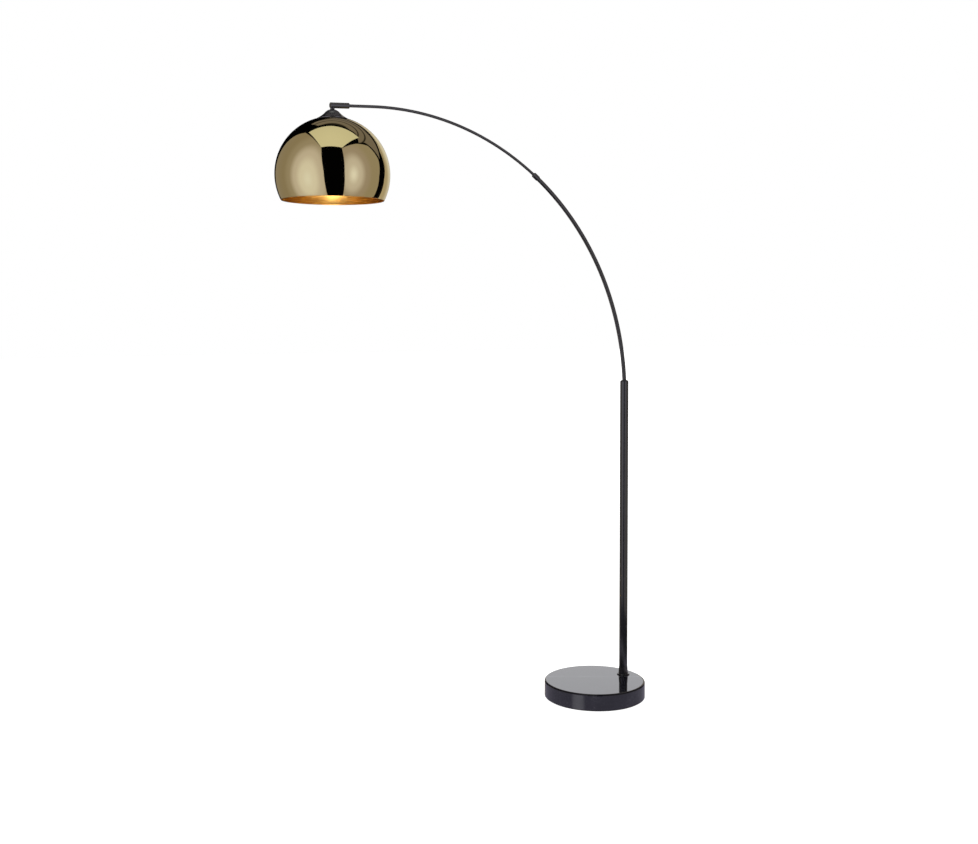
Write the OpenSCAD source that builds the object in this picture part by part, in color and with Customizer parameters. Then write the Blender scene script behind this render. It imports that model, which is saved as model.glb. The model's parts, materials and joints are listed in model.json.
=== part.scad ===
// Arc floor lamp: a marble base, an upright pole, a two-piece curved arm that swivels in the pole,
// and a domed shade that tilts about the arm's tip.
// +Z is up, the arm reaches towards -X, and the origin is the centre of the base's underside.

/* [Base] */
// Diameter of the stone base
base_d = 300; // [240:1:400]
// Height of the base from the floor, felt included
base_h = 50; // [40:1:70]
// Rounding of the stone's top edge
base_edge_r = 5; // [2:0.5:8]
// Rounding of the stone's bottom edge
base_foot_r = 2; // [1:0.5:4]
// Distance from the stone's side to the pole's axis
pole_setback = 43; // [43:1:70]
// Thickness of the felt under the stone
felt_t = 2; // [1:0.5:3]
// How far the felt stops short of the stone's edge
felt_inset = 5; // [3:1:15]

/* [Base fixing] */
// Outside diameter of the hollow threaded stud that holds the pole down
stud_d = 16; // [12:1:18]
// Bore of the stud
stud_bore_d = 9; // [7:0.5:10]
// How far the stud reaches up into the pole
stud_rise = 34; // [20:1:60]
// How far the stud reaches below its nut
stud_past_nut = 2; // [0:0.5:4]
// Diameter of the hole in the felt that lets a spanner reach the nut
felt_hole_d = 30; // [28:1:44]
// Diameter of the recess under the stone for the nut
recess_d = 50; // [46:1:56]
// Depth of that recess
recess_h = 26; // [22:1:28]
// Diameter of the plain washer
washer_d = 42; // [34:1:44]
// Thickness of the plain washer
washer_t = 3; // [2:0.5:4]
// Thickness of the spring washer
spring_washer_t = 3.5; // [2.5:0.5:4]
// Across-flats width of the nut
nut_af = 24; // [22:1:27]
// Height of the nut
nut_h = 10; // [8:1:12]

/* [Cord inlet] */
// Bore of the cord bush
inlet_d = 7; // [5:0.5:8]
// Outside diameter of the cord bush
bush_d = 11; // [10:0.5:12]
// Length of the cord bush's neck inside the stone
bush_len = 12; // [8:1:20]
// Diameter of the cord bush's flange
bush_flange_d = 15; // [13:0.5:18]
// Height of the cord bush's axis above the floor
inlet_z = 10.5; // [10:0.5:14]

/* [Pole] */
// Outside diameter of the pole
pole_d = 25; // [22:1:32]
// Wall of the pole
pole_wall = 1.5; // [1:0.25:2.5]
// Height of the joint between pole and arm, at the arm fitting's top
pole_top_z = 947; // [700:1:1200]
// Diameter of the flange at the pole's foot
foot_flange_d = 37.5; // [34:0.5:50]
// Thickness of that flange
foot_flange_t = 3; // [2:0.5:5]
// Height of the tapered collar above the flange
foot_collar_h = 22; // [12:1:35]

/* [Arm fitting] */
// Height of the fitting's visible head
spigot_head_h = 7; // [5:0.5:12]
// Chamfer of that head
spigot_chamfer = 3.5; // [1:0.5:4]
// Length of the fitting's shank inside the pole
spigot_len = 62; // [45:1:90]
// How deep the lower tube sits below the pole's rim
socket_deep = 28; // [20:1:40]
// Distance from the pole's rim down to the stop screw
stop_drop = 46; // [30:1:48]
// Half of the arm's swing, each way from straight over the base
swing_half = 160; // [90:1:165]

/* [Arm] */
// Radius of the arm's curve
bend_r = 795; // [600:1:1000]
// Lean of the arm from upright where it leaves the pole
lean = 3.23; // [2.5:0.01:4.5]
// Angle on the curve of the coupling between the two tubes
joint_angle = 53.4; // [35:0.1:65]
// Angle on the curve where the upper tube turns straight
end_angle = 93.27; // [88:0.01:98]
// Straight length of the upper tube between its curve and the collar
tail_len = 66; // [40:1:120]
// Outside diameter of the lower tube
lower_d = 12; // [11:0.5:14]
// Outside diameter of the upper tube
upper_d = 8; // [7:0.5:9]
// Wall of both tubes
tube_wall = 1; // [0.8:0.1:1.2]
// Wall of the coupling around the lower tube
coupling_wall = 1.5; // [1:0.25:3]
// Length of the coupling
coupling_len = 22; // [18:1:30]
// How far the upper tube reaches past the coupling into the lower one
plug_in = 30; // [15:1:60]

/* [Collar and neck] */
// Wall of the collar at the arm's tip, around its spindle
collar_wall = 1.95; // [1.5:0.05:3]
// Length of that collar
collar_len = 53; // [45:1:80]
// Distance from the collar's outer end to the neck's axis
neck_inset = 6; // [6:0.5:9]
// Wall of the swivel spindle on the tube's tip
spindle_wall = 1.5; // [1.4:0.1:2]
// Length of the spindle
spindle_len = 30; // [24:1:34]
// Half of the shade's tilt, each way from hanging upright
tilt_half = 40; // [20:1:45]
// Outside diameter of the threaded neck tube
neck_d = 10; // [9.5:0.25:10.5]
// Bore of the neck tube
neck_bore_d = 7; // [6.5:0.25:7.5]
// How far the neck's shoulder stands out from its thread
shoulder_step = 0.75; // [0.5:0.25:1]
// Height of the neck's shoulder
shoulder_h = 3.2; // [2:0.1:6]

/* [Shade] */
// Outside radius of the domed shade
shade_r = 150; // [120:1:190]
// Wall of the shade
shade_wall = 1; // [0.8:0.1:2]
// Drop of the shade's rim below the dome's centre
rim_drop = 67; // [40:1:80]

/* [Bell cap] */
// Radius of the small dome on top of the bell cap
dome_r = 19.5; // [16:0.5:22]
// Height of that small dome
dome_h = 9; // [6:0.5:12]
// Radius of the bell's skirt where it sits on the shade
skirt_r = 40; // [34:0.5:50]
// Depth of the hollow in the bell's flare
flare_hollow = 1.2; // [0.6:0.1:2.5]
// Rise of the bell cap above the top of the shade
cap_rise = 19.8; // [18:0.2:26]
// Wall of the bell cap
cap_wall = 1.2; // [1:0.1:1.5]

/* [Lampholder and bulb] */
// Outside diameter of the lampholder
holder_d = 38; // [36:0.5:42]
// Height of the lampholder's domed cap
holder_cap_h = 18; // [15:0.5:22]
// Height of the lampholder's body
holder_body_h = 38; // [36:0.5:44]
// Wall of the lampholder
holder_wall = 2; // [1.5:0.25:2.5]
// Outside diameter of the bulb's screw cap
screw_d = 26; // [25:0.5:27]
// Outside diameter of the bulb's glass
bulb_d = 60; // [50:1:65]
// Length of the bulb from its contact to its tip
bulb_len = 108; // [100:1:120]

/* [Leads and fits] */
// Diameter of the two-core lead inside the lamp
lead_d = 4.4; // [3.5:0.1:4.6]
// Diameter of the lead's cores where its jacket ends in the neck
core_d = 3.4; // [2.4:0.1:3.6]
// Gap between the lead's lengths where a moving joint divides it
lead_gap = 0.4; // [0.3:0.1:1]
// Radial clearance of the two turning fits
running = 0.05; // [0.03:0.01:0.08]
// Clearance of parts that pass each other without touching
loose = 0.5; // [0.3:0.1:1]
// Diameter of the small grub screws
grub_d = 4; // [3:0.5:5]

/* [Hidden] */
$fn = 96;
EPS = 0.01;

// Base stack, from the floor up
pole_offset = base_d / 2 - pole_setback;
recess_top = felt_t + recess_h;
washer_z = recess_top - washer_t;
spring_z = washer_z - spring_washer_t;
nut_z = spring_z - nut_h;
stud_z = nut_z - stud_past_nut;
stud_top = base_h + foot_flange_t + stud_rise;
inlet_wall_x = base_d / 2;
groove_w = 10.4;
groove_top = inlet_z + groove_w / 2;

// Pole and arm fitting
pole_r = pole_d / 2;
pole_bore_r = pole_r - pole_wall;
pole_foot_z = base_h + foot_flange_t;
rim_z = pole_top_z - spigot_head_h;
spigot_z = rim_z - spigot_len;
stop_z = rim_z - stop_drop;
spigot_r = pole_bore_r - running;
groove_depth = 2;
tip_gap = 0.35;
stop_tip_r = grub_d / 2 - 0.5;
stop_reach = spigot_r - groove_depth + tip_gap;
stop_half = swing_half + asin(stop_tip_r / (spigot_r - groove_depth)) + 0.5;

// Arm curve
arc_x = pole_offset - bend_r * cos(lean);
arc_z = pole_top_z - bend_r * sin(lean);
lower_r = lower_d / 2;
upper_r = upper_d / 2;
socket_angle = asin((rim_z - socket_deep - arc_z) / bend_r);
lead_start_angle = asin((spigot_z - arc_z) / bend_r);
coupling_half_angle = asin(coupling_len / 2 / bend_r);
plug_angle = joint_angle - asin(plug_in / bend_r);
coupling_d = lower_d + 2 * coupling_wall;
coupling_chamfer = 2.5;

// Collar, in the tip frame: its origin is where the tube turns straight, +Z runs out along the tube
collar_z = tail_len;
collar_end = tail_len + collar_len;
neck_at = collar_end - neck_inset;
mouth_len = 1.5;
spindle_z = collar_z + mouth_len;
spindle_end = spindle_z + spindle_len;
spindle_r = upper_r + spindle_wall;
collar_bore_r = spindle_r + running;
collar_d = 2 * (collar_bore_r + collar_wall);
tilt_screw_z = spindle_z + spindle_len / 2;
tilt_groove_depth = 0.9;
tilt_tip_r = 1.4;
tilt_half_groove = tilt_half + asin(tilt_tip_r / (spindle_r - tilt_groove_depth)) + 0.5;
wire_way_r = lead_d / 2 + 0.8;
head_gap_z = spindle_end + loose * 2;

// Neck and shade, hanging upright below the collar
tip_x = arc_x + bend_r * cos(end_angle);
tip_z = arc_z + bend_r * sin(end_angle);
head_x = tip_x - neck_at * sin(end_angle);
neck_z = tip_z + neck_at * cos(end_angle);
shoulder_d = neck_d + 2 * shoulder_step;
spot_face = collar_d / 2 - 0.5;
neck_engage = 3.5;
shoulder_top = neck_z - spot_face;
cap_top = shoulder_top - shoulder_h;
shade_z = cap_top - cap_rise - shade_r;
shade_in_r = shade_r - shade_wall;
neck_r = neck_d / 2;
neck_top = neck_z - neck_engage;
neck_clear_r = neck_r + 0.25;
seat_z = shade_z + sqrt(pow(shade_r, 2) - pow(skirt_r, 2));
skirt_lip = 1.2;

// Clamp stack inside the dome
neck_nut_af = 14;
cap_nut_h = 4;
shade_washer_r = 20;
shade_washer_t = 3;
shade_washer_low = shade_z + sqrt(pow(shade_in_r, 2) - pow(shade_washer_r, 2)) - shade_washer_t;
shade_nut_h = 4;
shade_nut_z = shade_washer_low - shade_nut_h;

// Lampholder
holder_r = holder_d / 2;
holder_top = shade_nut_z - 1;
neck_in_holder = 9;
holder_seam = holder_top - holder_cap_h;
holder_low = holder_seam - holder_body_h;
neck_low = holder_top - neck_in_holder;
block_r = holder_r - holder_wall;
block_h = 10;
terminal_y = 10;
terminal_d = 3;
block_low = holder_seam - block_h;
screw_r = screw_d / 2;
shell_r = screw_r;
shell_t = 0.5;
shell_h = 24;

// Bulb, hanging from its centre contact
contact_gap = 3;
bulb_top = block_low - contact_gap;
button_h = 1.5;
button_r = 5;
cap_metal_t = 0.6;
insulator_h = 4;
screw_cap_h = 22;
screw_cap_top = bulb_top - button_h - insulator_h;
screw_cap_low = screw_cap_top - screw_cap_h;
bulb_r = bulb_d / 2;
bulb_z = bulb_top - bulb_len + bulb_r;
glass_t = 0.8;
glass_neck_r = screw_r - 1;
glass_in_cap = 8;
glass_top = screw_cap_low + glass_in_cap;
filament_z = bulb_z + 4;
stem_z = filament_z + 6;

// A ring along Z, from height z0 to z1
module ring(r_out, r_in, z0, z1) {
    difference() {
        translate([0, 0, z0]) cylinder(r = r_out, h = z1 - z0);
        translate([0, 0, z0 - 1]) cylinder(r = r_in, h = z1 - z0 + 2);
    }
}

// Frame of the arm's curve turned to an angle: +X points outward and +Y runs along the tube
module on_curve(angle) {
    translate([arc_x, 0, arc_z])
        rotate([90, 0, 0])
            rotate([0, 0, angle])
                children();
}

// Places a child on the arm's centreline at an angle, with +Z along the tube
module on_arc(angle) {
    on_curve(angle) translate([bend_r, 0, 0]) rotate([-90, 0, 0]) children();
}

// Sweeps a flat outline along the arm's curve, from angle a0 up to a1
module arc_sweep(a0, a1) {
    on_curve(a1)
        mirror([0, 1, 0])
            rotate_extrude(angle = a1 - a0, $fn = 360)
                translate([bend_r, 0])
                    children();
}

// Solid bar that follows the arm's curve
module arc_bar(r, a0, a1) {
    arc_sweep(a0, a1) circle(r = r, $fn = 48);
}

// Hollow tube along the arm's curve
module arc_tube(r, wall, a0, a1) {
    arc_sweep(a0, a1)
        difference() {
            circle(r = r, $fn = 48);
            circle(r = r - wall, $fn = 48);
        }
}

module at_pole() {
    translate([pole_offset, 0, 0]) children();
}

module at_head() {
    translate([head_x, 0, 0]) children();
}

// Hexagon nut with its bore
module hex_nut(af, h, bore_r, z) {
    translate([0, 0, z])
        difference() {
            cylinder(r = af / sqrt(3), h = h, $fn = 6);
            translate([0, 0, -1]) cylinder(r = bore_r, h = h + 2);
        }
}

// Headless screw along +X, from its tip at x = tip to its slotted end at x = back
module grub_screw(tip, neck, back, tip_r, body_r) {
    slot_w = 0.8;
    slot_deep = 1;
    rotate([0, 90, 0])
        difference() {
            union() {
                translate([0, 0, tip]) cylinder(r = tip_r, h = back - tip);
                translate([0, 0, neck]) cylinder(r = body_r, h = back - neck);
            }
            translate([-body_r, -slot_w / 2, back - slot_deep])
                cube([2 * body_r, slot_w, slot_deep + 1]);
        }
}

// ---- Base ----

module base_felt() {
    color("dimgray")
        difference() {
            cylinder(d = base_d - 2 * felt_inset, h = felt_t);
            at_pole() translate([0, 0, -1]) cylinder(d = felt_hole_d, h = felt_t + 2);
        }
}

// Outline of the stone, with a rounded edge above and below
module stone_outline() {
    r = base_d / 2;
    square([r - base_edge_r, base_h - felt_t]);
    translate([0, base_foot_r]) square([r, base_h - felt_t - base_edge_r - base_foot_r]);
    square([r - base_foot_r, base_foot_r + EPS]);
    translate([r - base_edge_r, base_h - felt_t - base_edge_r]) circle(r = base_edge_r);
    translate([r - base_foot_r, base_foot_r]) circle(r = base_foot_r);
}

// Way of the cord from the bush to the nut recess
module cord_groove() {
    translate([pole_offset, -groove_w / 2, felt_t - 1])
        cube([inlet_wall_x - bush_len - pole_offset, groove_w, groove_top - felt_t + 1]);
}

module marble_base() {
    color([0.09, 0.09, 0.11])
        difference() {
            translate([0, 0, felt_t]) rotate_extrude($fn = 180) stone_outline();
            at_pole() {
                cylinder(d = stud_d + 2 * loose, h = base_h + 1);
                translate([0, 0, felt_t - 1]) cylinder(d = recess_d, h = recess_h + 1);
            }
            cord_groove();
            translate([inlet_wall_x - bush_len - 2, 0, inlet_z])
                rotate([0, 90, 0])
                    cylinder(d = bush_d, h = bush_len + 4);
        }
}

module cord_bush() {
    flange_t = 2.4;
    flange_sink = 0.8;
    color([0.12, 0.12, 0.12])
        translate([inlet_wall_x, 0, inlet_z])
            rotate([0, 90, 0])
                difference() {
                    union() {
                        translate([0, 0, -bush_len]) cylinder(d = bush_d, h = bush_len + 1);
                        cylinder(d = bush_flange_d, h = flange_t - flange_sink);
                    }
                    translate([0, 0, -bush_len - 1]) cylinder(d = inlet_d, h = bush_len + flange_t + 2);
                }
}

module base_stud() {
    color("silver") at_pole() ring(stud_d / 2, stud_bore_d / 2, stud_z, stud_top);
}

module clamp_washer() {
    color("silver") at_pole() ring(washer_d / 2, stud_d / 2 + loose / 2, washer_z, recess_top);
}

// Split ring, open over a few degrees
module spring_washer() {
    split = 8;
    band = 4;
    inner = stud_d / 2 + loose / 2;
    color("gray")
        at_pole()
            translate([0, 0, spring_z])
                rotate_extrude(angle = 360 - split)
                    translate([inner, 0])
                        square([band, spring_washer_t]);
}

module base_nut() {
    color("silver") at_pole() hex_nut(nut_af, nut_h, stud_d / 2, nut_z);
}

// ---- Pole ----

module foot_flange() {
    flare = 1.8;
    lip = 0.4;
    edge = 1;
    color([0.13, 0.13, 0.14])
        at_pole()
            translate([0, 0, base_h])
                difference() {
                    union() {
                        cylinder(d = foot_flange_d, h = foot_flange_t - edge);
                        translate([0, 0, foot_flange_t - edge])
                            cylinder(d1 = foot_flange_d, d2 = foot_flange_d - 2 * edge, h = edge);
                        translate([0, 0, foot_flange_t])
                            cylinder(r1 = pole_r + flare, r2 = pole_r + lip, h = foot_collar_h);
                    }
                    translate([0, 0, foot_flange_t])
                        cylinder(r = pole_r, h = foot_collar_h + 1);
                    translate([0, 0, -1]) cylinder(r = stud_d / 2 + loose / 2, h = foot_flange_t + 2);
                }
}

module pole_foot_plug() {
    color("gray")
        at_pole() ring(pole_bore_r, stud_d / 2, pole_foot_z, pole_foot_z + stud_rise);
}

module pole_tube() {
    color([0.13, 0.13, 0.14])
        difference() {
            at_pole() ring(pole_r, pole_bore_r, pole_foot_z, rim_z);
            translate([pole_offset, 0, stop_z])
                rotate([0, 90, 0])
                    cylinder(d = grub_d, h = pole_r + 1);
        }
}

// Its tip runs in the fitting's groove: it keeps the arm in the pole and ends the arm's swing
module stop_screw() {
    color("silver")
        translate([pole_offset, 0, stop_z])
            grub_screw(stop_reach, pole_bore_r + 0.2, pole_r, stop_tip_r, grub_d / 2);
}

module pole_lead() {
    color("white")
        translate([pole_offset, 0, stud_z])
            cylinder(d = lead_d, h = spigot_z - lead_gap - stud_z);
}

// ---- Arm ----

module spigot_outline() {
    square([spigot_r, spigot_len]);
    translate([0, spigot_len]) square([pole_r, spigot_head_h - spigot_chamfer]);
    translate([0, spigot_len + spigot_head_h - spigot_chamfer])
        polygon([[0, 0], [pole_r, 0], [pole_r - spigot_chamfer, spigot_chamfer], [0, spigot_chamfer]]);
}

module arm_spigot() {
    color([0.13, 0.13, 0.14])
        difference() {
            translate([pole_offset, 0, spigot_z]) rotate_extrude() spigot_outline();
            arc_bar(lower_r, socket_angle, lean + 1);
            translate([pole_offset, 0, spigot_z - 1])
                cylinder(d = lower_d - 2 * tube_wall, h = spigot_len - socket_deep + 2);
            translate([pole_offset, 0, stop_z])
                rotate([0, 0, -stop_half])
                    rotate_extrude(angle = 2 * stop_half)
                        translate([spigot_r - groove_depth, -stop_tip_r - tip_gap])
                            square([groove_depth + 1, 2 * (stop_tip_r + tip_gap)]);
        }
}

module lower_arc_tube() {
    color([0.13, 0.13, 0.14]) arc_tube(lower_r, tube_wall, socket_angle, joint_angle);
}

module coupling_outline() {
    r = coupling_d / 2;
    half = coupling_len / 2;
    polygon([
        [0, -half], [r - coupling_chamfer, -half], [r, -half + coupling_chamfer],
        [r, half - coupling_chamfer], [r - coupling_chamfer, half], [0, half]
    ]);
}

module arc_coupling() {
    color([0.13, 0.13, 0.14])
        difference() {
            on_arc(joint_angle) rotate_extrude() coupling_outline();
            arc_bar(lower_r, joint_angle - 2 * coupling_half_angle, joint_angle);
            arc_bar(upper_r, joint_angle - EPS, joint_angle + 2 * coupling_half_angle);
            on_arc(joint_angle)
                translate([0, 0, coupling_len / 4])
                    rotate([0, 0, 90])
                        rotate([0, 90, 0])
                            cylinder(d = grub_d - 1, h = coupling_d);
        }
}

module coupling_screw() {
    r = (grub_d - 1) / 2;
    color("silver")
        on_arc(joint_angle)
            translate([0, 0, coupling_len / 4])
                rotate([0, 0, 90])
                    grub_screw(upper_r + 0.05, upper_r + 0.1, coupling_d / 2 - 0.1, r, r);
}

module upper_arc_tube() {
    color([0.13, 0.13, 0.14]) {
        arc_tube(upper_r, tube_wall, plug_angle, end_angle);
        on_arc(end_angle) ring(upper_r, upper_r - tube_wall, 0, spindle_end);
    }
}

// Turned sleeve on the tube's tip, with the groove that ends the tilt
module swivel_spindle() {
    color("goldenrod")
        on_arc(end_angle)
            difference() {
                ring(spindle_r, upper_r, spindle_z, spindle_end);
                translate([0, 0, tilt_screw_z])
                    rotate([0, 0, 90 - tilt_half_groove])
                        rotate_extrude(angle = 2 * tilt_half_groove)
                            translate([spindle_r - tilt_groove_depth, -tilt_tip_r - tip_gap])
                                square([tilt_groove_depth + 1, 2 * (tilt_tip_r + tip_gap)]);
            }
}

module arm_lead() {
    color("white") {
        arc_bar(lead_d / 2, lead_start_angle, end_angle);
        on_arc(end_angle) cylinder(d = lead_d, h = head_gap_z - lead_gap);
    }
}

// ---- Head ----

module end_collar() {
    edge = 0.8;
    bend_room = lead_d / 2 + 0.4;
    color([0.13, 0.13, 0.14])
        difference() {
            on_arc(end_angle) {
                translate([0, 0, collar_z + edge]) cylinder(d = collar_d, h = collar_len - 2 * edge);
                translate([0, 0, collar_z])
                    cylinder(d1 = collar_d - 2 * edge, d2 = collar_d, h = edge);
                translate([0, 0, collar_end - edge])
                    cylinder(d1 = collar_d, d2 = collar_d - 2 * edge, h = edge);
            }
            on_arc(end_angle) {
                translate([0, 0, collar_z - 1]) cylinder(r = upper_r + loose, h = 3);
                translate([0, 0, spindle_z - loose])
                    cylinder(r = collar_bore_r, h = spindle_len + 2 * loose);
                translate([0, 0, spindle_end]) cylinder(r = wire_way_r, h = neck_at - spindle_end);
                translate([0, 0, tilt_screw_z])
                    rotate([0, 0, 90])
                        rotate([0, 90, 0])
                            cylinder(d = grub_d, h = collar_d);
            }
            translate([head_x, 0, neck_z - collar_d]) cylinder(r = neck_r, h = collar_d + bend_room);
            translate([head_x, 0, neck_z - spot_face - collar_d])
                cylinder(d = shoulder_d + loose, h = collar_d);
        }
}

// Its tip runs in the spindle's groove: it holds the collar on and sets how stiffly the shade tilts
module tilt_screw() {
    color("silver")
        on_arc(end_angle)
            translate([0, 0, tilt_screw_z])
                rotate([0, 0, 90])
                    grub_screw(spindle_r - tilt_groove_depth + tip_gap, spindle_r + tip_gap,
                               collar_d / 2 - 0.2, tilt_tip_r, grub_d / 2);
}

module neck_tube() {
    color("silver")
        at_head()
            difference() {
                union() {
                    translate([0, 0, neck_low]) cylinder(r = neck_r, h = neck_top - neck_low);
                    translate([0, 0, cap_top]) cylinder(d = shoulder_d, h = shoulder_h);
                }
                translate([0, 0, neck_low - 1]) cylinder(d = neck_bore_d, h = neck_top - neck_low + 2);
            }
}

// Outline of the bell at a given inward step: a small dome, then a hollow flare out to the skirt
module bell_outline(step) {
    ball_r = (pow(dome_r, 2) + pow(dome_h, 2)) / (2 * dome_h);
    waist = [dome_r, cap_top - dome_h];
    skirt = [skirt_r, seat_z + skirt_lip];
    dip = 6;
    run = skirt - waist;
    hollow_r = (run * run / 4 + pow(flare_hollow, 2)) / (2 * flare_hollow);
    outward = [-run[1], run[0]] / norm(run);
    intersection() {
        translate([0, cap_top - ball_r]) circle(r = ball_r - step);
        translate(waist - [dome_r, 0]) square([dome_r - step, dome_h]);
    }
    difference() {
        polygon([
            [0, seat_z - dip], [skirt_r - step, seat_z - dip], skirt - [step, 0],
            waist - [step, 0], [0, waist[1]]
        ]);
        translate((waist + skirt) / 2 + outward * (hollow_r - flare_hollow))
            circle(r = hollow_r + step, $fn = 180);
    }
}

module bell_cap() {
    color([0.22, 0.22, 0.23])
        at_head()
            difference() {
                rotate_extrude($fn = 120)
                    difference() {
                        bell_outline(0);
                        bell_outline(cap_wall);
                    }
                translate([0, 0, shade_z]) sphere(r = shade_r, $fn = 180);
                translate([0, 0, cap_top - dome_h]) cylinder(r = neck_clear_r, h = dome_h + 1);
            }
}

module cap_nut() {
    color("silver") at_head() hex_nut(neck_nut_af, cap_nut_h, neck_r, shade_z + shade_r);
}

// Spun dome cut off below its centre
module shade() {
    color([0.83, 0.68, 0.38])
        at_head() {
            difference() {
                translate([0, 0, shade_z])
                    rotate_extrude($fn = 180)
                        intersection() {
                            difference() {
                                circle(r = shade_r, $fn = 240);
                                circle(r = shade_in_r, $fn = 240);
                            }
                            translate([0, -rim_drop]) square([shade_r + 1, shade_r + rim_drop + 1]);
                        }
                translate([0, 0, shade_z]) cylinder(r = neck_clear_r, h = shade_r + 1);
            }
        }
}

module shade_washer() {
    reach = 10;
    color("black")
        at_head()
            difference() {
                intersection() {
                    translate([0, 0, shade_washer_low]) cylinder(r = shade_washer_r, h = reach);
                    translate([0, 0, shade_z]) sphere(r = shade_in_r, $fn = 240);
                }
                translate([0, 0, shade_washer_low - 1]) cylinder(r = neck_clear_r, h = reach + 2);
            }
}

module shade_nut() {
    color("silver") at_head() hex_nut(neck_nut_af, shade_nut_h, neck_r, shade_nut_z);
}

// Lead from the tube's tip, round a bend, then its bare cores down the neck to the contact block
module head_lead() {
    bend = 6;
    lap = 0.5;
    turn = 180 - end_angle;
    bend_in = bend * tan(turn / 2);
    color("white")
        on_arc(end_angle) {
            translate([0, 0, head_gap_z]) cylinder(d = lead_d, h = neck_at - bend_in - head_gap_z);
            translate([-bend, 0, neck_at - bend_in])
                rotate([90, 0, 0]) {
                    rotate_extrude(angle = turn) translate([bend, 0]) circle(d = lead_d, $fn = 48);
                    rotate([0, 0, turn])
                        translate([bend, -lap, 0])
                            rotate([-90, 0, 0])
                                cylinder(d = core_d, h = neck_z - bend_in - holder_seam + lap);
                }
        }
}

// ---- Lampholder ----

module holder_cap() {
    cap_r = holder_r - 1;
    shoulder = 6;
    color([0.1, 0.1, 0.1])
        at_head()
            difference() {
                union() {
                    translate([0, 0, holder_seam]) cylinder(r = cap_r, h = holder_cap_h - shoulder);
                    translate([0, 0, holder_top - shoulder])
                        cylinder(r1 = cap_r, r2 = cap_r - shoulder, h = shoulder);
                }
                translate([0, 0, holder_seam - 1])
                    cylinder(r = cap_r - holder_wall, h = holder_cap_h - shoulder - 1);
                translate([0, 0, holder_seam]) cylinder(r = neck_r, h = holder_cap_h + 1);
            }
}

module holder_body() {
    color([0.1, 0.1, 0.1])
        at_head() ring(holder_r, block_r, holder_low, holder_seam);
}

module contact_block() {
    color("ivory")
        at_head()
            difference() {
                translate([0, 0, block_low]) cylinder(r = block_r, h = block_h);
                for (side = [-1, 1])
                    translate([0, side * terminal_y, block_low - 1])
                        cylinder(d = terminal_d + 0.2, h = block_h + 2);
            }
}

module screw_shell() {
    color("goldenrod")
        at_head() ring(shell_r + shell_t, shell_r, block_low - shell_h, block_low);
}

module centre_contact() {
    strip = [6, 4];
    color("goldenrod")
        at_head()
            translate([-strip[0] / 2, -strip[1] / 2, bulb_top])
                cube([strip[0], strip[1], block_low - bulb_top]);
}

module terminal_screws() {
    head_d = 5;
    head_h = 2;
    tip_inset = 2;
    color("goldenrod")
        at_head()
            for (side = [-1, 1])
                translate([0, side * terminal_y, 0]) {
                    translate([0, 0, block_low + tip_inset])
                        cylinder(d = terminal_d, h = block_h - tip_inset);
                    translate([0, 0, holder_seam]) cylinder(d = head_d, h = head_h);
                }
}

// ---- Bulb ----

module bulb_screw_cap() {
    color("silver")
        at_head() ring(screw_r, screw_r - cap_metal_t, screw_cap_low, screw_cap_top);
}

module bulb_insulator() {
    color([0.05, 0.05, 0.05])
        at_head()
            translate([0, 0, screw_cap_top])
                cylinder(r1 = screw_r - cap_metal_t, r2 = button_r, h = insulator_h);
}

module bulb_contact() {
    color("silver")
        at_head()
            translate([0, 0, bulb_top - button_h])
                cylinder(r1 = button_r, r2 = button_r - 2, h = button_h);
}

// Outline of the glass at a given inward step: a ball that blends into a straight neck
module glass_outline(step) {
    blend_r = bulb_r * 0.85;
    blend_x = glass_neck_r + blend_r;
    blend_up = sqrt(pow(bulb_r + blend_r, 2) - pow(blend_x, 2));
    translate([0, bulb_z]) {
        intersection() {
            circle(r = bulb_r - step, $fn = 180);
            translate([0, -bulb_r]) square(2 * bulb_r);
        }
        difference() {
            polygon([[0, 0], [blend_x, blend_up], [0, blend_up]]);
            translate([blend_x, blend_up]) circle(r = blend_r + step, $fn = 180);
        }
        square([glass_neck_r - step, glass_top - step - bulb_z]);
    }
}

module bulb_glass() {
    color([1, 0.97, 0.9, 0.5])
        at_head()
            rotate_extrude()
                difference() {
                    glass_outline(0);
                    glass_outline(glass_t);
                }
}

module bulb_stem() {
    color([0.9, 0.95, 1])
        at_head()
            translate([0, 0, stem_z])
                cylinder(r1 = 2.5, r2 = 5, h = glass_top - glass_t - stem_z);
}

// Four upright glowing strips around the stem
module bulb_filament() {
    strips = 4;
    color("orange")
        at_head()
            for (i = [0 : strips - 1])
                rotate([0, 0, i * 360 / strips])
                    translate([8, 0, filament_z - 14])
                        cylinder(r = 1, h = 30);
}

base_felt();
marble_base();
cord_bush();
base_stud();
clamp_washer();
spring_washer();
base_nut();
foot_flange();
pole_foot_plug();
pole_tube();
stop_screw();
pole_lead();
arm_spigot();
lower_arc_tube();
arc_coupling();
coupling_screw();
upper_arc_tube();
swivel_spindle();
arm_lead();
end_collar();
tilt_screw();
neck_tube();
bell_cap();
cap_nut();
shade();
shade_washer();
shade_nut();
head_lead();
holder_cap();
holder_body();
contact_block();
screw_shell();
centre_contact();
terminal_screws();
bulb_screw_cap();
bulb_insulator();
bulb_contact();
bulb_glass();
bulb_stem();
bulb_filament();
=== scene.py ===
"""Looks of the arc floor lamp: its finishes, its finer meshes, the studio and the camera.

Everything is in metres in the row's own frame.
"""

import json
import math

import bmesh
import bpy
from mathutils import Matrix, Vector

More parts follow.
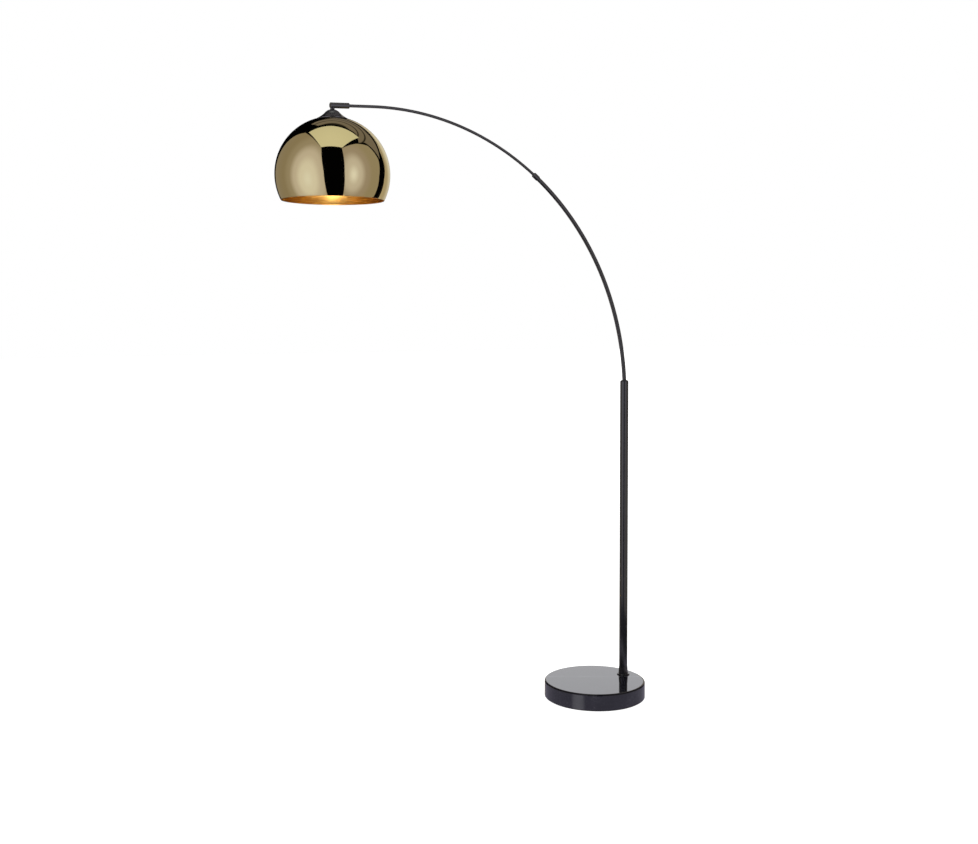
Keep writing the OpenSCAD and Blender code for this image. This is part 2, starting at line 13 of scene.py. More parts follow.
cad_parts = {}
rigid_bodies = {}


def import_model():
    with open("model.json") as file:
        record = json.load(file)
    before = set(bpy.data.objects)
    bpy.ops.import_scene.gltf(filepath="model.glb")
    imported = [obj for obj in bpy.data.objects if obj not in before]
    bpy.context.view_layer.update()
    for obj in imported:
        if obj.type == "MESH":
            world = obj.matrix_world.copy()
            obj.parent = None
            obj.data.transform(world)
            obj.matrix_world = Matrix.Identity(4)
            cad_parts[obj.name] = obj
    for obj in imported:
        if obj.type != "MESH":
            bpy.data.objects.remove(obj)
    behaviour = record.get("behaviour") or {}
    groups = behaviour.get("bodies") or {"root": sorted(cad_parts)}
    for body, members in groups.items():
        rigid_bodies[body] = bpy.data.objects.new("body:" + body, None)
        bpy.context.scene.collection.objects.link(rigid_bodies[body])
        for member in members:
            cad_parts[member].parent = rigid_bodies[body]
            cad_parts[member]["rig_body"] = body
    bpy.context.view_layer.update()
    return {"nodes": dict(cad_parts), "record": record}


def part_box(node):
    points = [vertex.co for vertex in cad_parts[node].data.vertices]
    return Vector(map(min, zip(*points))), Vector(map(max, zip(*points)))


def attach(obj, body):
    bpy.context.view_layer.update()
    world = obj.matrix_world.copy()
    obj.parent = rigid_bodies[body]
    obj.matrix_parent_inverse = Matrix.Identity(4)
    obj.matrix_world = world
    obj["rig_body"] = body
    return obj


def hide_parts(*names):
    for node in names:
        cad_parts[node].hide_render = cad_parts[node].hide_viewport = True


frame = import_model()

scene = bpy.context.scene
MM = 0.001
WHITE = (1.0, 1.0, 1.0, 1.0)

BULB_GLOW = 4.0
FLOOR_GAP = 0.3 * MM
SHARP_EDGE = math.radians(35)

# The stone's long vein: how it lies about the vertical, where, and how broad and wavy it is.
VEIN_TURN = math.radians(-30.89)
VEIN_AT = 0.03
VEIN_HALF_WIDTH = 4.0 * MM
VEIN_WANDER = 0.022


def middle(node):
    """Centre of a CAD node's box."""
    low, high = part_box(node)
    return (low + high) / 2


# ---- Camera ----

CAMERA_TURN = math.radians(30.89)
CAMERA_PITCH = math.radians(2.0)
CAMERA_HEIGHT = 1.145
CAMERA_BACK = 3.707
CAMERA_SIDE = 0.409
CAMERA_LENS = 45.2
CAMERA_SHIFT = -0.066

UP = Vector((0, 0, 1))
AHEAD = Vector((math.sin(CAMERA_TURN), math.cos(CAMERA_TURN), 0))
RIGHT = Vector((AHEAD.y, -AHEAD.x, 0))


def add_camera():
    """A camera that looks along AHEAD and a little down, past the pole's side."""
    data = bpy.data.cameras.new("camera")
    data.sensor_width = 36.0
    data.sensor_fit = "HORIZONTAL"
    data.lens = CAMERA_LENS
    data.shift_y = CAMERA_SHIFT
    camera = bpy.data.objects.new("camera", data)
    scene.collection.objects.link(camera)
    forward = AHEAD * math.cos(CAMERA_PITCH) - UP * math.sin(CAMERA_PITCH)
    turn = Matrix((RIGHT, RIGHT.cross(forward), -forward)).transposed().to_4x4()
    pole = middle("pole_tube")
    place = Vector((pole.x, pole.y, CAMERA_HEIGHT)) - AHEAD * CAMERA_BACK - RIGHT * CAMERA_SIDE
    camera.matrix_world = Matrix.Translation(place) @ turn
    scene.camera = camera


add_camera()
scene.view_settings.view_transform = "Standard"


# ---- Materials ----


class Finish:
    """A Principled material, with short ways to add procedural nodes in the piece's own coordinates."""

    def __init__(self, name, **sockets):
        self.material = bpy.data.materials.new(name)
        self.material.use_nodes = True
        self.tree = self.material.node_tree
        self.shader = self.tree.nodes["Principled BSDF"]
        self.place = self.add("ShaderNodeTexCoord").outputs["Object"]
        for socket, value in sockets.items():
            label = socket.replace("_", " ").title().replace("Ior", "IOR")
            self.shader.inputs[label].default_value = value

    def add(self, kind, links=None, **values):
        """A node whose named inputs are set to values or linked to other nodes' outputs."""
        node = self.tree.nodes.new(kind)
        for name, value in values.items():
            setattr(node, name, value)
        for name, source in (links or {}).items():
            if isinstance(source, bpy.types.NodeSocket):
                self.tree.links.new(source, node.inputs[name])
            else:
                node.inputs[name].default_value = source
        return node

    def stretched(self, scale, turn=0.0):
        """The piece's coordinates along axes turned about Z, each multiplied by its scale."""
        links = {"Vector": self.place, "Scale": [1 / s for s in scale], "Rotation": (0, 0, turn)}
        return self.add("ShaderNodeMapping", links, vector_type="TEXTURE").outputs["Vector"]

    def noise(self, scale, detail=3.0, roughness=0.5, distortion=0.0, place=None):
        links = {
            "Vector": place or self.place, "Scale": scale, "Detail": detail,
            "Roughness": roughness, "Distortion": distortion,
        }
        return self.add("ShaderNodeTexNoise", links).outputs["Fac"]

    def span(self, factor, low, high, out_low, out_high):
        """Maps factor from low..high to out_low..out_high."""
        links = {
            "Value": factor, "From Min": low, "From Max": high,
            "To Min": out_low, "To Max": out_high,
        }
        return self.add("ShaderNodeMapRange", links, interpolation_type="SMOOTHSTEP").outputs["Result"]

    def math(self, operation, a, b):
        return self.add("ShaderNodeMath", {0: a, 1: b}, operation=operation).outputs["Value"]

    def ramp(self, factor, *stops):
        """A colour from factor, through stops of (place, colour)."""
        node = self.add("ShaderNodeValToRGB", {"Fac": factor})
        points = node.color_ramp.elements
        while len(points) < len(stops):
            points.new(0.5)
        for point, (place, colour) in zip(points, stops):
            point.position = place
            point.color = (*colour, 1.0)
        return node.outputs["Color"]

    def drive(self, socket, source):
        self.tree.links.new(source, self.shader.inputs[socket])

    def bump(self, height, depth, strength=1.0, below=None):
        """Relief of the given depth in metres, laid over another relief if one is given."""
        links = {"Height": height, "Distance": depth, "Strength": strength}
        if below is not None:
            links["Normal"] = below
        normal = self.add("ShaderNodeBump", links).outputs["Normal"]
        self.drive("Normal", normal)
        return normal


def tinted(value, tint):
    return tuple(value * part for part in tint)


def black_coat():
    """Fine powder coat: a faint orange peel, and a sheen that is a little patchy."""
    f = Finish("black_coat", ior=1.7, specular_ior_level=0.8)
    peel = f.noise(1400.0, detail=2.0)
    speck = f.noise(5200.0, detail=1.0)
    patch = f.noise(9.0)
    f.drive("Base Color", f.ramp(patch, (0.3, (0.007, 0.007, 0.009)), (0.7, (0.010, 0.010, 0.013))))
    f.drive("Roughness", f.span(patch, 0.3, 0.7, 0.20, 0.27))
    f.bump(speck, 0.005 * MM, 0.5, f.bump(peel, 0.01 * MM))
    return f.material


def grey_satin():
    """Dark grey lacquer of the bell cap, satin, with the faint rings that spinning leaves."""
    f = Finish("grey_satin", metallic=0.9, ior=1.5)
    patch = f.noise(30.0)
    f.drive("Base Color", f.ramp(patch, (0.3, (0.150, 0.148, 0.160)), (0.7, (0.185, 0.183, 0.195))))
    f.drive("Roughness", f.span(f.noise(200.0), 0.3, 0.7, 0.20, 0.26))
    rings = f.noise(1.0, detail=2.0, place=f.stretched((20.0, 20.0, 2600.0)))
    f.bump(f.noise(2200.0), 0.01 * MM, 0.6, f.bump(rings, 0.01 * MM))
    return f.material


def gold_mirror():
    """Champagne gold mirror of the dome's outside: nearly flawless, with a breath of haze."""
    f = Finish("gold_mirror", metallic=1.0)
    wide = f.noise(6.0)
    fine = f.noise(900.0, detail=2.0)
    f.drive("Base Color", f.ramp(wide, (0.3, (0.86, 0.725, 0.385)), (0.7, (0.88, 0.745, 0.405))))
    f.drive("Roughness", f.span(fine, 0.35, 0.65, 0.035, 0.055))
    f.bump(wide, 0.06 * MM, 0.15)
    return f.material


def gold_inside_painted_warmth():
    """Gold inside of the dome, a softer gloss than outside, with spinning rings; its base colour is tinted
    more orange than the outside's, a painted warm glow of the lit bulb.
    """
    f = Finish("gold_inside_painted_warmth", metallic=1.0)
    wide = f.noise(8.0)
    rings = f.noise(1.0, detail=3.0, place=f.stretched((2.0, 2.0, 900.0)))
    # Painted light: the orange tint of this gold, beyond the outside's, stands in for the bulb's warm glow
    # on the inside.
    f.drive("Base Color", f.ramp(wide, (0.3, (0.89, 0.62, 0.25)), (0.7, (0.92, 0.66, 0.28))))
    f.drive("Roughness", f.span(rings, 0.3, 0.7, 0.23, 0.28))
    f.bump(rings, 0.01 * MM, 0.4)
    return f.material


def black_marble():
    """Polished black marble: a dark clouded ground, one long vein, hairlines and grains."""
    f = Finish("black_marble", ior=1.8, specular_tint=(0.94, 0.95, 1.0, 1.0))
    laid = f.stretched((1.6, 9.0, 3.0), VEIN_TURN)
    across = f.add("ShaderNodeSeparateXYZ", {"Vector": f.stretched((1, 1, 1), VEIN_TURN)}).outputs["Y"]
    wander = f.math("MULTIPLY", f.math("SUBTRACT", f.noise(2.0, detail=6.0, place=laid), 0.5), VEIN_WANDER)
    off = f.math("ABSOLUTE", f.math("SUBTRACT", f.math("ADD", across, wander), VEIN_AT), 0.0)
    vein = f.span(off, 0.0, VEIN_HALF_WIDTH, 1.0, 0.0)
    hair = f.noise(5.0, detail=8.0, roughness=0.7, distortion=2.0, place=laid)
    hairline = f.span(f.math("ABSOLUTE", f.math("SUBTRACT", hair, 0.5), 0.0), 0.0, 0.006, 0.4, 0.0)
    broken = f.span(f.noise(14.0), 0.40, 0.60, 0.3, 1.0)
    pale = f.math("MULTIPLY", f.math("MAXIMUM", vein, hairline), broken)
    cloud = f.noise(26.0, detail=6.0, roughness=0.65)
    ground = f.ramp(
        cloud, (0.30, (0.003, 0.003, 0.005)), (0.55, (0.006, 0.006, 0.009)), (0.75, (0.012, 0.011, 0.016))
    )
    mixed = f.add(
        "ShaderNodeMix", {"Factor": pale, "A": ground, "B": (0.110, 0.110, 0.120, 1.0)}, data_type="RGBA"
    )
    f.drive("Base Color", colour_output(mixed))
    f.drive("Roughness", f.span(f.noise(60.0), 0.3, 0.7, 0.045, 0.085))
    f.bump(f.noise(90.0, detail=4.0), 0.02 * MM, 0.10)
    return f.material


def colour_output(mix):
    """The colour result of a Mix node, which also has float and vector results."""
    return [out for out in mix.outputs if out.type == "RGBA"][0]


def felt():
    """Pressed felt: matted fibres that lie every way, with a soft sheen."""
    f = Finish("felt", roughness=0.95, sheen_weight=0.4, sheen_roughness=0.6)
    one = f.noise(700.0, detail=4.0, distortion=3.0)
    other = f.noise(1.0, detail=3.0, distortion=2.0, place=f.stretched((350.0, 1400.0, 900.0), 0.7))
    fibre = f.math("MULTIPLY", one, other)
    f.drive("Base Color", f.ramp(fibre, (0.12, (0.018, 0.018, 0.020)), (0.42, (0.085, 0.085, 0.092))))
    f.bump(fibre, 0.6 * MM, 0.7)
    return f.material


def moulded(name, colour, roughness, grain=900.0, depth=0.02):
    """Moulded rubber, plastic or PVC: an even ground with a fine grain and faint flow marks."""
    f = Finish(name, ior=1.5)
    flow = f.noise(22.0, distortion=1.0)
    f.drive("Base Color", f.ramp(flow, (0.3, tinted(0.86, colour)), (0.7, tinted(1.1, colour))))
    f.drive("Roughness", f.span(f.noise(140.0), 0.3, 0.7, roughness - 0.05, roughness + 0.05))
    f.bump(f.noise(grain, detail=2.0), depth * MM, 0.5)
    return f.material


def turned_metal(name, colour, roughness, rings=3000.0):
    """Turned or rolled metal: fine tool rings, worn roughness and slight tarnish."""
    f = Finish(name, metallic=1.0)
    stain = f.noise(120.0, detail=5.0, roughness=0.6)
    tool = f.noise(1.0, detail=2.0, place=f.stretched((90.0, 90.0, rings)))
    f.drive("Base Color", f.ramp(stain, (0.3, tinted(0.82, colour)), (0.65, colour)))
    f.drive("Roughness", f.span(tool, 0.3, 0.7, roughness - 0.07, roughness + 0.09))
    f.bump(tool, 0.01 * MM, 0.5)
    return f.material


def glazed(name, colour):
    """Glazed steatite: a smooth wet gloss over a slightly uneven body, with rare specks."""
    f = Finish(name, ior=1.55)
    speck = f.span(f.noise(1600.0, detail=1.0), 0.68, 0.74, 1.0, 0.0)
    body = f.noise(70.0)
    shade = f.math("MULTIPLY", f.span(body, 0.3, 0.7, 0.9, 1.0), speck)
    f.drive("Base Color", f.ramp(shade, (0.0, tinted(0.55, colour)), (1.0, colour)))
    f.drive("Roughness", f.span(body, 0.3, 0.7, 0.10, 0.20))
    f.bump(body, 0.1 * MM, 0.3)
    return f.material


def lit_glass():
    """Thin frosted glass of the lit bulb: it glows most round its middle, less at the neck."""
    f = Finish("bulb_glass", roughness=0.25, alpha=0.72, emission_color=(1.0, 0.80, 0.50, 1.0))
    low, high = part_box("bulb_glass")
    height = f.add("ShaderNodeSeparateXYZ", {"Vector": f.place}).outputs["Z"]
    glow = f.span(height, low.z + 0.4 * (high.z - low.z), high.z, BULB_GLOW, 0.2 * BULB_GLOW)
    mottle = f.span(f.noise(60.0), 0.3, 0.7, 0.94, 1.0)
    f.drive("Emission Strength", f.math("MULTIPLY", glow, mottle))
    f.drive("Base Color", f.ramp(f.noise(40.0), (0.3, (0.95, 0.92, 0.86)), (0.7, (1.0, 0.97, 0.92))))
    f.bump(f.noise(2500.0), 0.01 * MM, 0.4)
    return f.material


def stem_glass():
    """Clear glass stem that carries the strips inside the bulb."""
    f = Finish("stem_glass", roughness=0.05, alpha=0.45, ior=1.5)
    f.drive("Base Color", f.ramp(f.noise(50.0), (0.3, (0.86, 0.90, 0.95)), (0.7, (0.95, 0.97, 1.0))))
    f.bump(f.noise(120.0), 0.1 * MM, 0.3)
    return f.material


def glowing_strip():
    """Phosphor strips of the bulb, a row of small dies that glow through a yellow coat."""
    f = Finish("filament", roughness=0.6, base_color=(1.0, 0.72, 0.32, 1.0))
    dies = f.noise(1.0, detail=1.0, place=f.stretched((10.0, 10.0, 700.0)))
    f.drive("Emission Color", f.ramp(dies, (0.35, (1.0, 0.52, 0.16)), (0.65, (1.0, 0.80, 0.48))))
    f.drive("Emission Strength", f.span(dies, 0.35, 0.65, 2.0 * BULB_GLOW, 4.0 * BULB_GLOW))
    f.bump(dies, 0.2 * MM, 0.5)
    return f.material


FINISHES = {
    "felt": felt(),
    "black_marble": black_marble(),
    "bush": moulded("bush", (0.022, 0.022, 0.024), 0.55),
    "zinc": turned_metal("zinc", (0.62, 0.62, 0.60), 0.34),
    "raw_steel": turned_metal("raw_steel", (0.40, 0.40, 0.41), 0.40),
    "black_coat": black_coat(),
    "lead_jacket": moulded("lead_jacket", (0.72, 0.72, 0.69), 0.42, grain=400.0),
    "brass": turned_metal("brass", (0.80, 0.61, 0.27), 0.24),
    "grey_satin": grey_satin(),
    "gold": gold_mirror(),
    "black_rubber": moulded("black_rubber", (0.020, 0.020, 0.021), 0.68, grain=1500.0),
    "black_plastic": moulded("black_plastic", (0.024, 0.024, 0.026), 0.36, grain=1200.0),
    "ceramic": glazed("ceramic", (0.84, 0.81, 0.74)),
    "bulb_metal": turned_metal("bulb_metal", (0.78, 0.78, 0.80), 0.22, rings=500.0),
    "bulb_insulator": glazed("bulb_insulator", (0.020, 0.014, 0.030)),
    "bulb_glass": lit_glass(),
    "stem_glass": stem_glass(),
    "filament": glowing_strip(),
}
SLOT_OF = {part["node"]: part["material_slot"] for part in frame["record"]["subparts"]}


def paint(node):
    """Gives a CAD node the finish of its slot."""
    data = frame["nodes"][node].data
    data.materials.clear()
    data.materials.append(FINISHES[SLOT_OF[node]])


# ---- Mesh code ----


def lathe(name, outline, axis, segments=96, inner=None, shape=None):
    """A turned piece. outline is a loop of (radius, height) points about the vertical axis at (x, y).

    inner tells which outline spans take the second material. shape(angle, radius, height) moves a
    point in or out, for threads, flutes and hexagons.
    """
    mesh = bmesh.new()
    rings = []
    for radius, height in outline:
        ring = []
        for step in range(segments):
            angle = 2 * math.pi * step / segments
            r = shape(angle, radius, height) if shape else radius
            ring.append(mesh.verts.new((axis.x + r * math.cos(angle), axis.y + r * math.sin(angle), height)))
        rings.append(ring)
    spans = list(zip(range(len(rings)), [*range(1, len(rings)), 0]))
    for number, (a, b) in enumerate(spans):
        for step in range(segments):
            after = (step + 1) % segments
            face = mesh.faces.new((rings[a][step], rings[a][after], rings[b][after], rings[b][step]))
            face.smooth = True
            if inner and number in inner:
                face.material_index = 1
    bmesh.ops.remove_doubles(mesh, verts=mesh.verts, dist=0.002 * MM)
    bmesh.ops.recalc_face_normals(mesh, faces=mesh.faces)
    data = bpy.data.meshes.new(name)
    mesh.to_mesh(data)
    mesh.free()
    data.set_sharp_from_angle(angle=SHARP_EDGE)
    piece = bpy.data.objects.new(name, data)
    scene.collection.objects.link(piece)
    return piece


def arc(centre, radius, start, end, steps):
    """Points of (radius, height) on a round stretch of an outline, with angles in degrees."""
    return [
        (
            centre[0] + radius * math.cos(math.radians(start + (end - start) * i / steps)),
            centre[1] + radius * math.sin(math.radians(start + (end - start) * i / steps)),
        )
        for i in range(steps + 1)
    ]


def stand_for(piece, node, *materials):
    """Makes piece replace a CAD node: same body, and the slot's finish unless told otherwise."""
    for material in materials or (FINISHES[SLOT_OF[node]],):
        piece.data.materials.append(material)
    body = frame["nodes"][node]["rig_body"]
    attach(piece, body)
    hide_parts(node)
    return piece


# ---- Shade ----

SHADE_WALL = 1.0 * MM
SHADE_BORE = 5.25 * MM


def shade_sphere():
    """Centre and radius of the sphere that the dome is cut from."""
    low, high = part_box("shade")
    radius = (high.x - low.x) / 2
    centre = middle("shade")
    centre.z = high.z - math.sqrt(radius**2 - SHADE_BORE**2)
    return centre, radius


def make_dome():
    """The spun dome: mirror outside, gold inside with a painted warm glow in its colour, with a rounded rim
    and a bored top.
    """
    centre, radius = shade_sphere()
    half = SHADE_WALL / 2
    rim_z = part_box("shade")[0].z + half
    rim_angle = math.degrees(math.asin((rim_z - centre.z) / (radius - half)))
    top_angle = math.degrees(math.acos(SHADE_BORE / (radius - half)))
    outer = arc((0, centre.z), radius, rim_angle, top_angle, 120)
    inner = arc((0, centre.z), radius - SHADE_WALL, top_angle, rim_angle, 120)
    rim_r = (radius - half) * math.cos(math.radians(rim_angle))
    bead = arc((rim_r, rim_z), half, 180 + rim_angle, 360 + rim_angle, 8)[1:-1]
    inner_spans = set(range(len(outer), len(outer) + len(inner) + 2))
    dome = lathe("dome", outer + inner + bead, centre, segments=360, inner=inner_spans)
    stand_for(dome, "shade", FINISHES["gold"], gold_inside_painted_warmth())


make_dome()


# ---- Nuts and threads ----


def hexagon(across):
    """A shape for lathe(): nothing reaches beyond a hexagon of this width across its flats."""

    def shape(angle, radius, height):
        from_flat = (angle % (math.pi / 3)) - math.pi / 6
        return min(radius, across / 2 / math.cos(from_flat))

    return shape


def make_nut(node, across, bore):
    """A chamfered hexagon nut."""
    low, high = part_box(node)
    corner = across / math.sqrt(3)
    face = 0.475 * across
    slope = math.tan(math.radians(30))
    lead = 0.6 * MM
    steps = 6
    run = corner - face
    chamfer = [(face + run * i / steps, run * slope * i / steps) for i in range(steps + 1)]
    outline = [(bore, low.z + lead), (bore + lead, low.z)]
    outline += [(r, low.z + rise) for r, rise in chamfer]
    outline += [(r, high.z - rise) for r, rise in reversed(chamfer)]
    outline += [(bore + lead, high.z), (bore, high.z - lead)]
    nut = lathe(node + "_cut", outline, middle(node), segments=144, shape=hexagon(across))
    stand_for(nut, node)


STUD_RADIUS = 8 * MM
NECK_THREAD_RADIUS = 5 * MM
make_nut("base_nut", 24 * MM, STUD_RADIUS)
for nut in ("cap_nut", "shade_nut"):
    make_nut(nut, 14 * MM, NECK_THREAD_RADIUS)


def thread(pitch, depth, low, high):
    """A shape for lathe(): a round-bottomed helix that fades out near both ends."""

    def shape(angle, radius, height):
        fade = max(0.0, min(1.0, (height - low) / pitch, (high - height) / pitch))
        wave = 0.5 + 0.5 * math.cos(2 * math.pi * (height / pitch) - angle)
        return radius - depth * fade * (1.0 - wave)

    return shape


def rolled_sleeve(node, name, wall, pitch, depth):
    """A sheet-metal sleeve whose two faces both follow a rolled thread."""
    rings_per_turn = 14
    low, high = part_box(node)
    radius = (high.x - low.x) / 2
    rings = round(rings_per_turn * (high.z - low.z) / pitch)
    heights = [low.z + (high.z - low.z) * i / rings for i in range(rings + 1)]
    outline = [(radius, z) for z in heights] + [(radius - wall, z) for z in reversed(heights)]
    sleeve = lathe(name, outline, middle(node), shape=thread(pitch, depth, low.z, high.z))
    stand_for(sleeve, node)


E27_PITCH = 3.62 * MM
rolled_sleeve("bulb_screw_cap", "cap_thread", 0.6 * MM, E27_PITCH, 0.9 * MM)


# ---- Lampholder ----


def make_holder_body():
    """Moulded sleeve of the lampholder: fluted for the fingers, with a plain lip below."""
    low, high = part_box("holder_body")
    radius = (high.x - low.x) / 2
    wall, lip, groove = 2.0 * MM, 5.0 * MM, 0.5 * MM
    skin = 1.5 * MM
    step = 0.01 * MM
    top = high.z - 8 * MM

    def flutes(angle, r, height):
        plain = r < radius - skin or height < low.z + lip or height > top
        return r if plain else r - groove * abs(math.sin(12 * angle))

    foot = arc((radius - 1 * MM, low.z + 1 * MM), 1 * MM, 270, 360, 6)
    mouth = arc((radius - wall + 0.5 * MM, low.z + 0.5 * MM), 0.5 * MM, 180, 270, 4)
    heights = [low.z + lip - step, low.z + lip, top, top + step, high.z]
    outline = mouth + foot + [(radius, z) for z in heights] + [(radius - wall, high.z)]
    body = lathe("holder_sleeve", outline, middle("holder_body"), segments=288, shape=flutes)
    stand_for(body, "holder_body")


make_holder_body()


# ---- Everything that stays as the CAD made it ----

for node in frame["nodes"]:
    paint(node)


# ---- Studio ----

PANEL_REACH = 3.0
SHADE_CENTRE = shade_sphere()[0]


def seen_from_shade(azimuth, elevation):
    """Direction from the shade: azimuth 0 is towards the camera and grows to the camera's right."""
    a, e = math.radians(azimuth), math.radians(elevation)
    flat = RIGHT * math.sin(a) - AHEAD * math.cos(a)
    return flat * math.cos(e) + UP * math.sin(e)


def glow_material(name, stops, reach, toward=(0, -1, 0), strength=1.0, blend="EASE"):
    """Light cloth whose colour runs through stops, from a direction outwards.

    toward is a direction from the cloth's origin, and reach is the distance between unit directions
    over which the stops run. The pool of light is taller than it is wide.
    """
    material = bpy.data.materials.new(name)
    material.use_nodes = True
    tree = material.node_tree
    tree.nodes.clear()
    squat = Vector((1.0, 1.0, 0.6))
    place = tree.nodes.new("ShaderNodeTexCoord")
    direction = tree.nodes.new("ShaderNodeVectorMath")
    direction.operation = "NORMALIZE"
    squashed = tree.nodes.new("ShaderNodeVectorMath")
    squashed.operation = "MULTIPLY"
    squashed.inputs[1].default_value = squat
    away = tree.nodes.new("ShaderNodeVectorMath")
    away.operation = "DISTANCE"
    away.inputs[1].default_value = Vector(toward) * squat
    share = tree.nodes.new("ShaderNodeMath")
    share.operation = "DIVIDE"
    share.inputs[1].default_value = reach
    ramp = tree.nodes.new("ShaderNodeValToRGB")
    ramp.color_ramp.interpolation = blend
    while len(ramp.color_ramp.elements) < len(stops):
        ramp.color_ramp.elements.new(0.5)
    for point, (where, colour) in zip(ramp.color_ramp.elements, stops):
        point.position = where
        point.color = (*colour, 1.0)
    emission = tree.nodes.new("ShaderNodeEmission")
    emission.inputs["Strength"].default_value = strength
    output = tree.nodes.new("ShaderNodeOutputMaterial")
    tree.links.new(place.outputs["Object"], direction.inputs[0])
    tree.links.new(direction.outputs["Vector"], squashed.inputs[0])
    tree.links.new(squashed.outputs["Vector"], away.inputs[0])
    tree.links.new(away.outputs["Value"], share.inputs[0])
    tree.links.new(share.outputs["Value"], ramp.inputs["Fac"])
    tree.links.new(ramp.outputs["Color"], emission.inputs["Color"])
    tree.links.new(emission.outputs["Emission"], output.inputs["Surface"])
    return material


def hang(name, mesh, material, place):
    """Makes a studio piece that lights only by what polished surfaces show of it."""
    data = bpy.data.meshes.new(name)
    mesh.to_mesh(data)
    mesh.free()
    data.materials.append(material)
    piece = bpy.data.objects.new(name, data)
    piece.location = place
    piece.visible_camera = False
    piece.visible_diffuse = False
    piece.visible_shadow = False
    scene.collection.objects.link(piece)


def soft_panel(name, corners, glow, stops, reach, distance=PANEL_REACH, blend="EASE"):
    """A lit cloth stretched between corners, each an (azimuth, elevation) seen from the shade."""
    mesh = bmesh.new()
    points = [seen_from_shade(*corner) * distance for corner in corners]
    hub = mesh.verts.new(sum(points, Vector()) / len(points))
    rim = [mesh.verts.new(point) for point in points]
    for first, second in zip(rim, rim[1:] + rim[:1]):
        mesh.faces.new((hub, first, second))
    hang(name, mesh, glow_material(name, stops, reach, seen_from_shade(*glow), blend=blend), SHADE_CENTRE)


def add_panels():
    """The tent of light cloths round the lamp, open in a dark gap on the camera's side."""
    soft_panel(
        "panel_left",
        [(-5, -55), (-10, 0), (-20, 45), (-110, 55), (-135, 25), (-150, -10), (-150, -55)],
        (-41, -12),
        ((0.0, (0.76, 0.80, 0.94)), (0.23, (0.70, 0.71, 0.81)), (0.47, (0.545, 0.52, 0.585)),
         (0.72, (0.32, 0.29, 0.266)), (1.0, (0.266, 0.233, 0.193))),
        reach=1.0,
    )
    soft_panel(
        "panel_right",
        [(35, -55), (30, 0), (30, 45), (75, 50), (105, 40), (115, 20), (110, 0), (120, -55)],
        (48, -4),
        ((0.0, (0.79, 0.83, 1.0)), (0.32, (0.57, 0.555, 0.643)), (0.66, (0.346, 0.309, 0.314)),
         (1.0, (0.31, 0.279, 0.24))),
        reach=0.75,
    )
    soft_panel(
        "panel_top",
        [(-20, 45), (30, 45), (100, 55), (-165, 80), (-100, 60)],
        (6, 60),
        ((0.0, (0.66, 0.67, 0.60)), (1.0, (0.60, 0.61, 0.54))),
        reach=1.0, distance=1.5,
    )
    soft_panel(
        "panel_back",
        [(135, -50), (130, 0), (135, 25), (160, 35), (180, 35), (180, -50)],
        (160, 15),
        ((0.0, (0.70, 0.68, 0.62)), (0.5, (0.42, 0.37, 0.30)), (1.0, (0.52, 0.46, 0.38))),
        reach=0.8,
    )
    tan, gap = (0.18, 0.16, 0.155), (0.02, 0.018, 0.016)
    stripes = [(0.36, gap), (0.40, tan)]
    for seam in (0.53, 0.67):
        stripes += [(seam, tan), (seam + 0.015, gap), (seam + 0.03, gap), (seam + 0.045, tan)]
    soft_panel(
        "panel_rear_top",
        [(-145, 50), (180, 40), (150, 40), (120, 20), (105, 45), (85, 50), (115, 60), (140, 70), (-135, 65)],
        (0, 90), stripes, reach=1.0, distance=2.6, blend="LINEAR",
    )


add_panels()


def round_the_base(azimuth, radius, height):
    """A point beside the base: azimuth 0 is towards the camera and grows to the camera's right."""
    a = math.radians(azimuth)
    return (RIGHT * math.sin(a) - AHEAD * math.cos(a)) * radius + UP * height


def band(name, radius, low, high, reach, material):
    """A cloth bent round the camera's side of the base, from -reach to reach degrees."""
    mesh = bmesh.new()
    half = 24
    turns = [reach * (i / half - 1) for i in range(2 * half + 1)]
    edges = [
        (mesh.verts.new(round_the_base(t, radius, low)), mesh.verts.new(round_the_base(t, radius, high)))
        for t in turns
    ]
    for (a, b), (c, d) in zip(edges, edges[1:]):
        mesh.faces.new((a, b, d, c))
    base = middle("marble_base")
    hang(name, mesh, material, Vector((base.x, base.y, 0)))


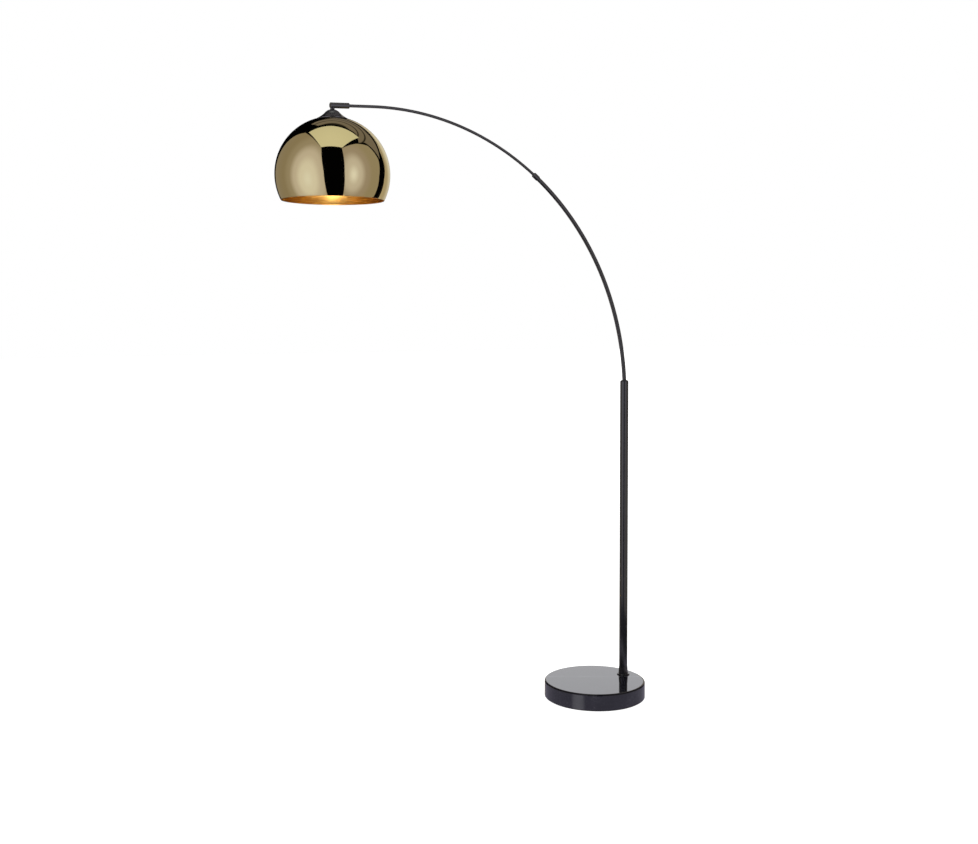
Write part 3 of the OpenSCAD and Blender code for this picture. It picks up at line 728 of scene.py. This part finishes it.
def add_base_lights():
    """What the polished stone shows: a pale card behind, a black flag and a low cloth in front."""
    card = bmesh.new()
    behind, half, foot, top = 1.0, 0.28, 0.15, 0.46
    for side, height in ((-half, foot), (half, foot), (half, top), (-half, top)):
        card.verts.new(AHEAD * behind + RIGHT * side + UP * height)
    card.faces.new(card.verts)
    base = middle("marble_base")
    pale = ((0.0, (0.98, 0.98, 1.0)), (1.0, (0.95, 0.96, 1.0)))
    hang("card", card, glow_material("card", pale, 1.0, AHEAD, strength=1.33), Vector((base.x, base.y, 0)))
    black = ((0.0, (0.004, 0.004, 0.006)), (1.0, (0.002, 0.002, 0.003)))
    flag = glow_material("flag", black, 1.0)
    band("flag", radius=0.22, low=0.06, high=0.20, reach=100, material=flag)
    dim = (0.31, 0.29, 0.36)
    pool = ((0.0, (1.0, 0.98, 1.05)), (0.40, (0.85, 0.83, 0.89)), (0.95, dim), (1.0, dim))
    toward = round_the_base(-38, 1, -0.3).normalized()
    low_cloth = glow_material("low_cloth", pool, 0.30, toward)
    band("low_cloth", radius=0.6, low=-0.40, high=-0.02, reach=150, material=low_cloth)


add_base_lights()


def add_world():
    """White surroundings for the eye and for soft light, dark ones for mirrors."""
    world = bpy.data.worlds.new("studio")
    scene.world = world
    world.use_nodes = True
    tree = world.node_tree
    tree.nodes.clear()
    path = tree.nodes.new("ShaderNodeLightPath")
    pale = tree.nodes.new("ShaderNodeBackground")
    pale.inputs["Color"].default_value = WHITE
    dark = tree.nodes.new("ShaderNodeBackground")
    dark.inputs["Color"].default_value = (0.0006, 0.0006, 0.0008, 1.0)
    mix = tree.nodes.new("ShaderNodeMixShader")
    output = tree.nodes.new("ShaderNodeOutputWorld")
    tree.links.new(path.outputs["Is Glossy Ray"], mix.inputs["Fac"])
    tree.links.new(pale.outputs["Background"], mix.inputs[1])
    tree.links.new(dark.outputs["Background"], mix.inputs[2])
    tree.links.new(mix.outputs["Shader"], output.inputs["Surface"])


add_world()


def add_floor():
    """The plain pale floor."""
    mesh = bmesh.new()
    half = 30
    for x, y in ((-half, -half), (half, -half), (half, half), (-half, half)):
        mesh.verts.new((x, y, 0))
    mesh.faces.new(mesh.verts)
    data = bpy.data.meshes.new("floor")
    mesh.to_mesh(data)
    mesh.free()
    material = bpy.data.materials.new("floor")
    material.use_nodes = True
    shader = material.node_tree.nodes["Principled BSDF"]
    shader.inputs["Base Color"].default_value = (0.5, 0.5, 0.5, 1.0)
    shader.inputs["Roughness"].default_value = 1.0
    shader.inputs["Emission Color"].default_value = WHITE
    shader.inputs["Emission Strength"].default_value = 0.93
    data.materials.append(material)
    floor = bpy.data.objects.new("floor", data)
    floor.location.z = -FLOOR_GAP
    floor.visible_glossy = False
    scene.collection.objects.link(floor)


add_floor()
